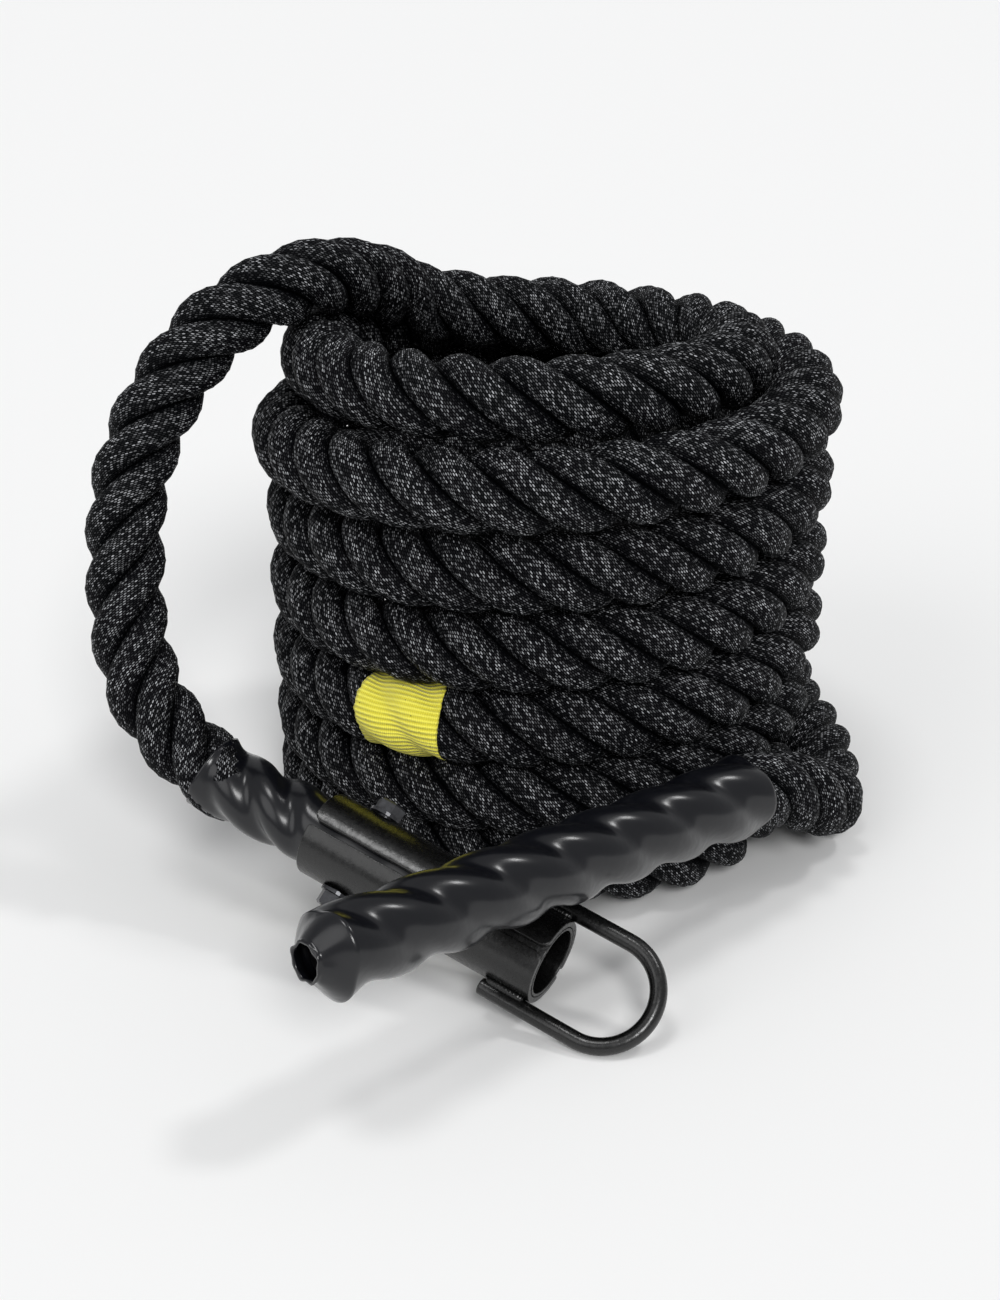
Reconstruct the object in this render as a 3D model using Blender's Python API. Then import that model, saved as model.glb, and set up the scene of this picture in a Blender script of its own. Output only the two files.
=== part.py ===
"""Sled pulling rope: a fat three-strand rope wound into a standing coil, a shrink-wrapped
handle on its lower end and, on its upper end, a bolted two-shell clamp with a welded pull loop.

Metres, +Z up. The origin is on the floor, at the middle of the whole object's box.
"""

import math

import bmesh
import bpy
from mathutils import Matrix, Vector

# Fits between pieces that touch
GAP = 0.0003
CUT_OVERRUN = 0.004

# Faces that meet at more than this angle show a sharp edge
SHARP_ANGLE = math.radians(35)

# Rope
ROPE_RADIUS = 0.0178
ROPE_LAY = 0.082
ROUTE_STEP = 0.030
END_RUN = 0.006
SPLINE_STEPS = 24
LOOP_RESOLUTION = 2
TAIL_SIDES = 8
COIL_SIDES = 6

# Coil: the place of its axis, and its turns counted up from the floor
COIL_X = 0.02979
COIL_Y = 0.07936
FLOOR_HEIGHT = 0.0150
COIL_RADIUS = 0.1255
COIL_TURNS = 6.75
POINTS_PER_TURN = 24
TURN_RISE = 0.0369
LEVEL_TURN = 6.0
FRONT_RISE = 0.00058
FRONT_SETTLE = 0.0012
BULGE = 0.0060
BULGE_TURN = 5.1
BULGE_TURNS = 0.45
INSET = 0.0440
INSET_TURN = 5.7
INSET_POWER = 1.2

# Where the lowest turn sags to the floor at the front
SAG = 0.0070
SAG_TURN = 0.36
SAG_TURNS = 0.13

# Where the lowest turns are pressed in, or stand out if negative: depth, turn and spread in turns
DENTS = (
    (-0.0060, 0.34, 0.100),
    (0.0130, 0.50, 0.085),
    (0.0050, 0.62, 0.070),
    (0.0035, 1.41, 0.120),
)

# Marker band on the coil
BAND_FIRST_TURN = 2.130
BAND_LAST_TURN = 2.188
BAND_RINGS = 7
BAND_SIDES = 12
BAND_RADIUS = 0.0179
BAND_THICKNESS = 0.0010
BAND_CLEARANCE = 0.0010
BAND_EDGE_TURNS = 0.002
BAND_NECK_TURNS = 0.003
BAND_CLEAR_TURNS = 0.006

# Free rope from the coil's top turn over to the clamp, from the coil's axis and the floor
LOOP_ROUTE = (
    (-0.062, 0.063, 0.2520),
    (-0.086, 0.040, 0.2700),
    (-0.112, 0.002, 0.2845),
    (-0.137, -0.020, 0.2830),
    (-0.161, -0.032, 0.2710),
    (-0.178, -0.042, 0.2540),
    (-0.192, -0.052, 0.2330),
    (-0.201, -0.060, 0.2130),
    (-0.2065, -0.068, 0.1910),
    (-0.2075, -0.077, 0.1670),
    (-0.2070, -0.088, 0.1420),
    (-0.2020, -0.099, 0.1190),
    (-0.1930, -0.110, 0.1000),
)

# Free rope from the coil's bottom turn round its right side to the handle
TAIL_ROUTE = (
    (-0.1180, 0.083, 0.0156),
    (-0.0670, 0.133, 0.0160),
    (0.0000, 0.152, 0.0160),
    (0.0740, 0.135, 0.0160),
    (0.1315, 0.073, 0.0160),
    (0.1480, 0.005, 0.0160),
    (0.1485, -0.030, 0.0170),
    (0.1460, -0.059, 0.0205),
    (0.1385, -0.0855, 0.0370),
    (0.1095, -0.1165, 0.0600),
)

# Handle: rope end under a shrink sleeve, which starts beside the coil's front right
HANDLE_BEARING = math.radians(-53.73)
HANDLE_STAND_OFF = 0.0352
HANDLE_START_HEIGHT = 0.0640
HANDLE_HEADING = math.radians(-137.0)
HANDLE_RISE = math.radians(5.8)
HANDLE_LENGTH = 0.273
GRIP_WALL = 0.0012
GRIP_RADIUS = 0.0184
GRIP_START_RADIUS = 0.0186
GRIP_END_RADIUS = 0.0198
GRIP_LOBE = 0.0010
GRIP_START_FLARE = 0.020
GRIP_END_FLARE = 0.040
GRIP_END_ROUND = 0.006
GRIP_END_ANGLES = (math.radians(35), math.radians(65), math.radians(90))
GRIP_HOLE_RADIUS = 0.006
GRIP_RINGS = 40
GRIP_SIDES = 18
CORE_SIDES = 16
TAPE_WALL = 0.0010
TAPE_LENGTH = 0.022

# Clamp: its mouth's place from the handle's start, which lies across it, and how it lies
MOUTH_FROM_HANDLE = (-0.0958, -0.0913, -0.0362)
CLAMP_ROLL = math.radians(41)
CLAMP_SLOPE = math.radians(13.4)
CLAMP_HEADING = math.radians(-30.7)
CLAMP_LENGTH = 0.130
CLAMP_RADIUS = 0.0210
CLAMP_WALL = 0.0030
SEAM_GAP = 0.0032
SHELL_CORNER = 0.0015
SHELL_WIDE_CORNER = 0.0045
SHELL_CORNER_STEPS = 5
SHELL_ARC_POINTS = 18
MOUTH_RING_WALL = 0.0016
MOUTH_RING_SIDES = 32
SHRINK_WALL = 0.0010
SHRINK_OUTSIDE = 0.066
SHRINK_MOUTH_INSET = 0.026
SHRINK_LOBE = 0.0008
SHRINK_LIP = 0.0014
SHRINK_LIP_LENGTH = 0.010
SHRINK_RINGS = 30

# Clamp bolt, washers and nut
BOLT_FROM_REAR = 0.023
BOLT_RADIUS = 0.0040
BOLT_HOLE_CLEARANCE = 0.0004
BOLT_END = 0.0035
BOLT_SIDES = 24
HEX_FLATS = 0.0130
HEAD_HEIGHT = 0.0055
NUT_HEIGHT = 0.0065
HEX_CHAMFER = 0.0009
WASHER_RADIUS = 0.0083
WASHER_HEIGHT = 0.0016

# Pull loop and its welds
ROD_RADIUS = 0.0041
LEG_ON_SHELL = 0.024
LEG_PAST_MOUTH = 0.027
ROD_RESOLUTION = 4
BEND_POINTS = 18
WELD_LENGTH = 0.020
WELD_END_INSET = 0.002
WELD_SHELL_ANGLE = math.radians(15.5)
WELD_ROD_ANGLE = math.radians(12)
WELD_ARC_POINTS = 5

# Colours, roughness and metallic value of each material
MATERIALS = {
    "rope_fibre": ((0.012, 0.013, 0.016, 1), 0.75, 0.0),
    "shrink_sleeve": ((0.016, 0.017, 0.020, 1), 0.38, 0.0),
    "marker_cloth": ((0.78, 0.66, 0.03, 1), 0.80, 0.0),
    "end_tape": ((0.02, 0.02, 0.02, 1), 0.55, 0.0),
    "coated_steel": ((0.011, 0.011, 0.013, 1), 0.28, 0.35),
    "zinc_black_steel": ((0.025, 0.026, 0.030, 1), 0.35, 0.80),
}


# Scene and materials


def clear_scene():
    for item in list(bpy.data.objects):
        bpy.data.objects.remove(item, do_unlink=True)


def make_material(name, kind):
    colour, roughness, metallic = MATERIALS[kind]
    material = bpy.data.materials.new(name + "_" + kind)
    material.use_nodes = True
    shader = material.node_tree.nodes["Principled BSDF"]
    shader.inputs["Base Color"].default_value = colour
    shader.inputs["Roughness"].default_value = roughness
    shader.inputs["Metallic"].default_value = metallic
    return material


def add_object(name, data, kind, parent=None):
    data.materials.append(make_material(name, kind))
    item = bpy.data.objects.new(name, data)
    bpy.context.scene.collection.objects.link(item)
    item.parent = parent
    return item


def add_frame(name, place, rotation):
    frame = bpy.data.objects.new(name, None)
    frame.location = place
    frame.rotation_euler = rotation
    bpy.context.scene.collection.objects.link(frame)
    return frame


def from_coil(place):
    return Vector((COIL_X, COIL_Y, 0)) + Vector(place)


def handle_start():
    reach = COIL_RADIUS + HANDLE_STAND_OFF
    across = reach * math.cos(HANDLE_BEARING)
    return from_coil((across, reach * math.sin(HANDLE_BEARING), HANDLE_START_HEIGHT))


# Shapes that pieces share


def loft(name, rings, kind, parent=None, closed=False):
    """Joins rings of equal point counts by faces. A closed loft joins its last ring to the first."""
    shape = bmesh.new()
    rows = [[shape.verts.new(point) for point in ring] for ring in rings]
    count = len(rows[0])
    pairs = list(zip(rows, rows[1:]))
    if closed:
        pairs.append((rows[-1], rows[0]))
    for here, there in pairs:
        for i in range(count):
            j = (i + 1) % count
            shape.faces.new((here[i], here[j], there[j], there[i]))
    if not closed:
        shape.faces.new(list(reversed(rows[0])))
        shape.faces.new(rows[-1])
    bmesh.ops.recalc_face_normals(shape, faces=shape.faces)
    mesh = bpy.data.meshes.new(name)
    shape.to_mesh(mesh)
    shape.free()
    mesh.shade_smooth()
    mesh.set_sharp_from_angle(angle=SHARP_ANGLE)
    return add_object(name, mesh, kind, parent)


def ring(x, radius, sides, lobe=0.0):
    """One ring round the local X axis. A lobe height gives it the rope's three lobes, turned by the lay."""
    turn = 2 * math.pi * x / ROPE_LAY
    points = []
    for i in range(sides):
        angle = 2 * math.pi * i / sides
        r = radius + lobe * math.cos(3 * (angle - turn))
        points.append(Vector((x, r * math.cos(angle), r * math.sin(angle))))
    return points


def tube(name, points, radius, resolution, kind, parent=None):
    curve = bpy.data.curves.new(name, "CURVE")
    curve.dimensions = "3D"
    curve.bevel_depth = radius
    curve.bevel_resolution = resolution
    curve.use_fill_caps = True
    spline = curve.splines.new("POLY")
    spline.points.add(len(points) - 1)
    for i, point in enumerate(points):
        spline.points[i].co = (*point, 1)
    return add_object(name, curve, kind, parent)


def sweep_rings(centres, radii, sides):
    """Rings along a nearly level path, each with one flat side down."""
    last = len(centres) - 1
    rings = []
    for i, (centre, radius) in enumerate(zip(centres, radii)):
        along = (centres[min(i + 1, last)] - centres[max(i - 1, 0)]).normalized()
        side = along.cross(Vector((0, 0, 1))).normalized()
        over = side.cross(along)
        row = []
        for k in range(sides):
            angle = 2 * math.pi * (k + 0.5) / sides - math.pi / 2
            row.append(centre + radius * (math.cos(angle) * side + math.sin(angle) * over))
        rings.append(row)
    return rings


def smooth_curve(route):
    """Dense points on a Catmull-Rom curve through the route's own points."""
    ends = [2 * route[0] - route[1], *route, 2 * route[-1] - route[-2]]
    points = []
    for a, b, c, d in zip(ends, ends[1:], ends[2:], ends[3:]):
        for i in range(SPLINE_STEPS):
            t = i / SPLINE_STEPS
            straight = (c - a) * t
            bend = (2 * a - 5 * b + 4 * c - d) * t**2
            swing = (3 * b - a - 3 * c + d) * t**3
            points.append(b + (straight + bend + swing) / 2)
    return points + [route[-1]]


def even_points(points, step):
    """Points along a dense line, about one step apart, with both ends kept."""
    lengths = [0.0]
    for a, b in zip(points, points[1:]):
        lengths.append(lengths[-1] + (b - a).length)
    count = max(2, round(lengths[-1] / step))
    found = []
    at = 0
    for i in range(count + 1):
        wanted = lengths[-1] * i / count
        while at < len(points) - 2 and lengths[at + 1] < wanted:
            at += 1
        share = (wanted - lengths[at]) / (lengths[at + 1] - lengths[at])
        found.append(points[at].lerp(points[at + 1], min(share, 1)))
    return found


def cylinder_cutter(name, radius, length, parent, place, axis):
    """A cutter cylinder centred on place, along the local axis Y or Z of its parent."""
    shape = bmesh.new()
    bmesh.ops.create_cone(
        shape, cap_ends=True, segments=BOLT_SIDES, radius1=radius, radius2=radius, depth=length
    )
    if axis == "Y":
        bmesh.ops.rotate(shape, verts=shape.verts, matrix=Matrix.Rotation(math.pi / 2, 3, "X"))
    mesh = bpy.data.meshes.new(name)
    shape.to_mesh(mesh)
    shape.free()
    return add_cutter(name, mesh, parent, place)


def add_cutter(name, mesh, parent, place):
    item = bpy.data.objects.new(name, mesh)
    bpy.context.scene.collection.objects.link(item)
    item.parent = parent
    item.location = place
    item.hide_render = True
    item.display_type = "WIRE"
    return item


def cut(item, cutter):
    boolean = item.modifiers.new("cut", "BOOLEAN")
    boolean.operation = "DIFFERENCE"
    boolean.solver = "EXACT"
    boolean.object = cutter


# The coil's path


def bell(value, middle, width):
    return math.exp(-(((value - middle) / width) ** 2))


def coil_radius(turns):
    inset = max(0.0, (turns - INSET_TURN) / (COIL_TURNS - INSET_TURN)) ** INSET_POWER
    bulge = BULGE * bell(turns, BULGE_TURN, BULGE_TURNS)
    dent = sum(depth * bell(turns, middle, spread) for depth, middle, spread in DENTS)
    return COIL_RADIUS + bulge - dent - INSET * inset


def coil_point(turns):
    """The rope's centre, some turns up from where the coil leaves the floor at its left side."""
    angle = 2 * math.pi * (0.25 - turns)
    front_share = (1 + math.cos(angle)) / 2
    height = FLOOR_HEIGHT + TURN_RISE * min(turns, LEVEL_TURN)
    height += (FRONT_RISE * turns**2 - FRONT_SETTLE * min(turns, 1)) * front_share
    height -= SAG * bell(turns, SAG_TURN, SAG_TURNS)
    radius = coil_radius(turns)
    return from_coil((-radius * math.sin(angle), -radius * math.cos(angle), height))


def coil_run(turns, ahead):
    """The point one rope diameter straight past the coil's end at these turns."""
    small = 1 / (POINTS_PER_TURN * SPLINE_STEPS)
    here = coil_point(turns)
    direction = (here - coil_point(turns - ahead * small)).normalized()
    return here + direction * 2 * ROPE_RADIUS


def coil_turns():
    """The turns at which the coil has a point, with the marker band's ends among them."""
    regular = [i / POINTS_PER_TURN for i in range(int(COIL_TURNS * POINTS_PER_TURN) + 1)]
    first_clear = BAND_FIRST_TURN - BAND_CLEAR_TURNS
    last_clear = BAND_LAST_TURN + BAND_CLEAR_TURNS
    kept = [t for t in regular if t < first_clear or t > last_clear]
    low = BAND_FIRST_TURN - BAND_EDGE_TURNS
    high = BAND_LAST_TURN + BAND_EDGE_TURNS
    necked = [low + (high - low) * i / (BAND_RINGS - 1) for i in range(BAND_RINGS)]
    return sorted(kept + necked + [low - BAND_EDGE_TURNS, high + BAND_EDGE_TURNS])


def in_band(turns):
    """Whether the rope is necked down here to pass through the marker band."""
    return BAND_FIRST_TURN - BAND_NECK_TURNS < turns < BAND_LAST_TURN + BAND_NECK_TURNS


def least_self_gap():
    """The least gap between the coil's turns, from points a small step apart."""
    steps = POINTS_PER_TURN * 2
    points = [coil_point(i / steps) for i in range(int(COIL_TURNS * steps) + 1)]
    apart = steps // 2
    return min(
        (points[i] - points[j]).length
        for i in range(len(points))
        for j in range(i + apart, len(points))
    ) - 2 * ROPE_RADIUS


# Rope pieces


def add_floor_cutter():
    size = 4 * COIL_RADIUS
    shape = bmesh.new()
    bmesh.ops.create_cube(shape, size=size)
    mesh = bpy.data.meshes.new("floor_cutter")
    shape.to_mesh(mesh)
    shape.free()
    return add_cutter("floor_cutter", mesh, None, from_coil((0, 0, -size / 2)))


def add_coil(floor_cutter):
    turns = coil_turns()
    neck = BAND_RADIUS - BAND_THICKNESS - BAND_CLEARANCE
    points = [coil_run(0, -1)] + [coil_point(t) for t in turns] + [coil_run(COIL_TURNS, 1)]
    radii = [ROPE_RADIUS] + [neck if in_band(t) else ROPE_RADIUS for t in turns] + [ROPE_RADIUS]
    coil = loft("rope_coil", sweep_rings(points, radii, COIL_SIDES), "rope_fibre")
    cut(coil, floor_cutter)
    print("least gap of the coil to itself, mm:", round(least_self_gap() * 1000, 3))
    return coil


def add_marker_band():
    centres = []
    for i in range(BAND_RINGS):
        share = i / (BAND_RINGS - 1)
        centres.append(coil_point(BAND_FIRST_TURN + share * (BAND_LAST_TURN - BAND_FIRST_TURN)))
    outer = sweep_rings(centres, [BAND_RADIUS] * BAND_RINGS, BAND_SIDES)
    inner = sweep_rings(centres, [BAND_RADIUS - BAND_THICKNESS] * BAND_RINGS, BAND_SIDES)
    return loft("marker_band", outer + inner[::-1], "marker_cloth", closed=True)


def free_points(start, start_direction, route, end, end_direction):
    """A free rope's centre line: with a short straight run, square to the face it meets, at each end."""
    first = start + start_direction * GAP
    last = end - end_direction * GAP
    inner_first = first + start_direction * END_RUN
    inner_last = last - end_direction * END_RUN
    middle = smooth_curve([inner_first] + [from_coil(p) for p in route] + [inner_last])
    return [first] + even_points(middle, ROUTE_STEP) + [last]


def add_rope_loop(clamp):
    start = coil_run(COIL_TURNS, 1)
    inward = (start - coil_point(COIL_TURNS)).normalized()
    rear = clamp.matrix_world @ Vector((-(CLAMP_LENGTH + SHRINK_OUTSIDE), 0, 0))
    to_mouth = (clamp.matrix_world.to_3x3() @ Vector((1, 0, 0))).normalized()
    points = free_points(start, inward, LOOP_ROUTE, rear, to_mouth)
    return tube("rope_loop", points, ROPE_RADIUS, LOOP_RESOLUTION, "rope_fibre")


def add_rope_tail(handle, floor_cutter):
    start = coil_run(0, -1)
    onward = (start - coil_point(0)).normalized()
    end = handle.matrix_world.translation
    along = (handle.matrix_world.to_3x3() @ Vector((1, 0, 0))).normalized()
    points = free_points(start, onward, TAIL_ROUTE, end, along)
    radii = [ROPE_RADIUS] * len(points)
    tail = loft("rope_tail", sweep_rings(points, radii, TAIL_SIDES), "rope_fibre")
    cut(tail, floor_cutter)
    return tail


def add_core(name, start, end, radius, parent):
    """A rope end as a plain round bar, stepped down where its end tape is wound on."""
    neck = radius - TAPE_WALL - GAP
    step = end - TAPE_LENGTH
    stations = ((start, radius), (step, radius), (step, neck), (end, neck))
    rings = [ring(x, r, CORE_SIDES) for x, r in stations]
    return loft(name, rings, "rope_fibre", parent)


def add_end_tape(name, end, radius, parent):
    start = end - TAPE_LENGTH + GAP
    inner = radius - TAPE_WALL
    rings = [ring(start, radius, CORE_SIDES), ring(end, radius, CORE_SIDES)]
    rings += [ring(end, inner, CORE_SIDES), ring(start, inner, CORE_SIDES)]
    return loft(name, rings, "end_tape", parent, closed=True)


# Handle


def grip_radius(x):
    """The sleeve's outer radius along the handle: fuller at both ends than between them."""
    start = (GRIP_START_RADIUS - GRIP_RADIUS) * math.exp(-x / GRIP_START_FLARE)
    end = (GRIP_END_RADIUS - GRIP_RADIUS) * math.exp(-(HANDLE_LENGTH - x) / GRIP_END_FLARE)
    return GRIP_RADIUS + start + end


def add_grip(handle):
    bore = GRIP_RADIUS - GRIP_LOBE - GRIP_WALL
    last = HANDLE_LENGTH - GRIP_END_ROUND
    rings = []
    for i in range(GRIP_RINGS + 1):
        x = last * i / GRIP_RINGS
        rings.append(ring(x, grip_radius(x), GRIP_SIDES, GRIP_LOBE))
    for angle in GRIP_END_ANGLES:
        inward = GRIP_END_ROUND * (1 - math.cos(angle))
        x = last + GRIP_END_ROUND * math.sin(angle)
        rings.append(ring(x, grip_radius(last) - inward, GRIP_SIDES, GRIP_LOBE * math.cos(angle)))
    rings.append(ring(HANDLE_LENGTH, GRIP_HOLE_RADIUS, GRIP_SIDES))
    rings.append(ring(HANDLE_LENGTH - GRIP_WALL, GRIP_HOLE_RADIUS, GRIP_SIDES))
    rings.append(ring(HANDLE_LENGTH - GRIP_WALL, bore, GRIP_SIDES))
    rings.append(ring(0, bore, GRIP_SIDES))
    return loft("handle_grip", rings, "shrink_sleeve", handle, closed=True)


def add_handle():
    handle = add_frame("handle_frame", handle_start(), (0, -HANDLE_RISE, HANDLE_HEADING))
    core_radius = GRIP_RADIUS - GRIP_LOBE - GRIP_WALL - GAP
    core_end = HANDLE_LENGTH - GRIP_WALL - GAP
    add_grip(handle)
    add_core("rope_handle_core", 0, core_end, core_radius, handle)
    add_end_tape("handle_end_tape", core_end, core_radius, handle)
    return handle


# Clamp


def seam_angle(from_end, corner):
    """The angle from a shell's middle to its seam edge, drawn in at a rounded corner near an end."""
    full = math.pi / 2 - (SEAM_GAP / 2) / CLAMP_RADIUS
    if from_end >= corner:
        return full
    drawn_in = corner - math.sqrt(corner**2 - (corner - from_end) ** 2)
    return full - drawn_in / CLAMP_RADIUS


def shell_section(x, low, high, side):
    """A shell's closed section at x, from its far seam to its near one and back along its inside."""
    outer = []
    inner = []
    for i in range(SHELL_ARC_POINTS + 1):
        angle = -low + (low + high) * i / SHELL_ARC_POINTS
        across = Vector((0, side * math.cos(angle), math.sin(angle)))
        outer.append(Vector((x, 0, 0)) + across * CLAMP_RADIUS)
        inner.append(Vector((x, 0, 0)) + across * (CLAMP_RADIUS - CLAMP_WALL))
    return outer + inner[::-1]


def corner_steps(corner):
    """Distances from a shell's end, closer together where its rounded corner turns fastest."""
    quarter = [math.pi / 2 * i / SHELL_CORNER_STEPS for i in range(SHELL_CORNER_STEPS + 1)]
    return [corner * (1 - math.cos(angle)) for angle in quarter]


def add_shell(name, side, mouth_corner, rear_corner, clamp, bolt_cutter):
    """One half of the clamp's barrel. The two corners on its near seam have sizes of their own."""
    rings = []
    for t in corner_steps(mouth_corner):
        low = seam_angle(t, SHELL_CORNER)
        rings.append(shell_section(-t, low, seam_angle(t, mouth_corner), side))
    for t in reversed(corner_steps(rear_corner)):
        low = seam_angle(t, SHELL_CORNER)
        rings.append(shell_section(t - CLAMP_LENGTH, low, seam_angle(t, rear_corner), side))
    shell = loft(name, rings, "coated_steel", clamp)
    cut(shell, bolt_cutter)
    return shell


def add_mouth_ring(clamp):
    """The closed ring inside the shells' mouth, from the mouth to just short of the shrink sleeve."""
    outer = CLAMP_RADIUS - CLAMP_WALL - GAP
    inner = outer - MOUTH_RING_WALL
    back = GAP - SHRINK_MOUTH_INSET
    stations = ((0, outer), (back, outer), (back, inner), (0, inner))
    rings = [ring(x, r, MOUTH_RING_SIDES) for x, r in stations]
    return loft("mouth_ring", rings, "coated_steel", clamp, closed=True)


def shrink_bore():
    return CLAMP_RADIUS - CLAMP_WALL - GAP - SHRINK_LOBE - SHRINK_WALL


def add_clamp_shrink(clamp, bolt_cutter):
    """The shrink sleeve over the rope's end: round inside the clamp, lobed and flared outside it."""
    start = -SHRINK_MOUTH_INSET
    end = -(CLAMP_LENGTH + SHRINK_OUTSIDE)
    inside_radius = CLAMP_RADIUS - CLAMP_WALL - GAP
    rings = []
    for i in range(SHRINK_RINGS + 1):
        x = start + (end - start) * i / SHRINK_RINGS
        outside = max(0.0, min(1.0, (-CLAMP_LENGTH - x) / SHRINK_LIP_LENGTH))
        lip = SHRINK_LIP * math.exp(-(x - end) / SHRINK_LIP_LENGTH)
        lobe = SHRINK_LOBE * outside
        rings.append(ring(x, inside_radius - lobe + lip * outside, GRIP_SIDES, lobe))
    rings.append(ring(end, shrink_bore(), GRIP_SIDES))
    rings.append(ring(start, shrink_bore(), GRIP_SIDES))
    shrink = loft("clamp_shrink", rings, "shrink_sleeve", clamp, closed=True)
    cut(shrink, bolt_cutter)
    return shrink


def hex_ring(y, corner_radius, place, side):
    """A hexagon round the local Y axis, with as many points as the round rings beside it."""
    apothem = corner_radius * math.cos(math.pi / 6)
    points = []
    for i in range(BOLT_SIDES):
        angle = 2 * math.pi * i / BOLT_SIDES
        from_corner = (angle + math.pi / 6) % (math.pi / 3) - math.pi / 6
        reach = apothem / math.cos(math.pi / 6 - abs(from_corner))
        points.append(place + Vector((reach * math.cos(angle), side * y, reach * math.sin(angle))))
    return points


def disc_ring(y, radius, place, side):
    points = []
    for i in range(BOLT_SIDES):
        angle = 2 * math.pi * i / BOLT_SIDES
        points.append(place + Vector((radius * math.cos(angle), side * y, radius * math.sin(angle))))
    return points


def add_washer(name, place, side, clamp):
    bore = BOLT_RADIUS + BOLT_HOLE_CLEARANCE
    stations = ((0, WASHER_RADIUS), (WASHER_HEIGHT, WASHER_RADIUS), (WASHER_HEIGHT, bore), (0, bore))
    rings = [disc_ring(y, r, place, side) for y, r in stations]
    return loft(name, rings, "zinc_black_steel", clamp, closed=True)


def add_nut(place, clamp):
    corner_radius = HEX_FLATS / 2 / math.cos(math.pi / 6)
    bore = BOLT_RADIUS + BOLT_HOLE_CLEARANCE
    rings = [
        hex_ring(0, corner_radius, place, -1),
        hex_ring(NUT_HEIGHT - HEX_CHAMFER, corner_radius, place, -1),
        hex_ring(NUT_HEIGHT, corner_radius - HEX_CHAMFER, place, -1),
        disc_ring(NUT_HEIGHT, bore, place, -1),
        disc_ring(0, bore, place, -1),
    ]
    return loft("clamp_nut", rings, "zinc_black_steel", clamp, closed=True)


def add_bolt(place, clamp):
    """The through bolt in one piece: shank end, shank, and hex head on the upper shell's side."""
    head_seat = CLAMP_RADIUS + GAP + WASHER_HEIGHT + GAP
    head_top = head_seat + HEAD_HEIGHT
    shank_end = head_seat + NUT_HEIGHT + BOLT_END
    corner_radius = HEX_FLATS / 2 / math.cos(math.pi / 6)
    rings = [
        disc_ring(-shank_end, BOLT_RADIUS - HEX_CHAMFER, place, 1),
        disc_ring(-shank_end + HEX_CHAMFER, BOLT_RADIUS, place, 1),
        disc_ring(head_seat, BOLT_RADIUS, place, 1),
        hex_ring(head_seat, corner_radius, place, 1),
        hex_ring(head_top - HEX_CHAMFER, corner_radius, place, 1),
        hex_ring(head_top, corner_radius - HEX_CHAMFER, place, 1),
    ]
    return loft("clamp_bolt", rings, "zinc_black_steel", clamp)


def add_bolt_set(clamp):
    x = BOLT_FROM_REAR - CLAMP_LENGTH
    washer_seat = CLAMP_RADIUS + GAP
    nut_seat = washer_seat + WASHER_HEIGHT + GAP
    add_bolt(Vector((x, 0, 0)), clamp)
    add_washer("head_washer", Vector((x, washer_seat, 0)), 1, clamp)
    add_washer("nut_washer", Vector((x, -washer_seat, 0)), -1, clamp)
    add_nut(Vector((x, -nut_seat, 0)), clamp)


def add_pull_loop(clamp):
    reach = CLAMP_RADIUS + GAP + ROD_RADIUS
    points = [Vector((-LEG_ON_SHELL, reach, 0))]
    for i in range(BEND_POINTS + 1):
        angle = math.pi / 2 - math.pi * i / BEND_POINTS
        points.append(
            Vector((LEG_PAST_MOUTH + reach * math.cos(angle), reach * math.sin(angle), 0))
        )
    points.append(Vector((-LEG_ON_SHELL, -reach, 0)))
    return tube("pull_loop", points, ROD_RADIUS, ROD_RESOLUTION, "coated_steel", clamp)


def weld_section(x, side, face):
    """A fillet's section at x: along the shell, then back along the rod."""
    shell = CLAMP_RADIUS + GAP
    rod = ROD_RADIUS + GAP
    centre = CLAMP_RADIUS + GAP + ROD_RADIUS
    meet_y = (centre**2 + shell**2 - rod**2) / (2 * centre)
    meet = math.acos(meet_y / shell)
    rod_meet = math.atan2(centre - meet_y, shell * math.sin(meet))
    points = []
    for i in range(WELD_ARC_POINTS):
        share = i / (WELD_ARC_POINTS - 1)
        angle = WELD_SHELL_ANGLE + (meet - WELD_SHELL_ANGLE) * share
        points.append((shell * math.cos(angle), shell * math.sin(angle)))
    for i in range(1, WELD_ARC_POINTS):
        share = i / (WELD_ARC_POINTS - 1)
        angle = rod_meet + (WELD_ROD_ANGLE - rod_meet) * share
        points.append((centre - rod * math.sin(angle), rod * math.cos(angle)))
    return [Vector((x, side * y, face * z)) for y, z in points]


def add_welds(clamp):
    start = -WELD_END_INSET
    for side_name, side in (("upper", 1), ("lower", -1)):
        for face_name, face in (("outer", 1), ("inner", -1)):
            rings = [weld_section(x, side, face) for x in (start, start - WELD_LENGTH)]
            loft("weld_" + side_name + "_" + face_name, rings, "coated_steel", clamp)


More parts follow.
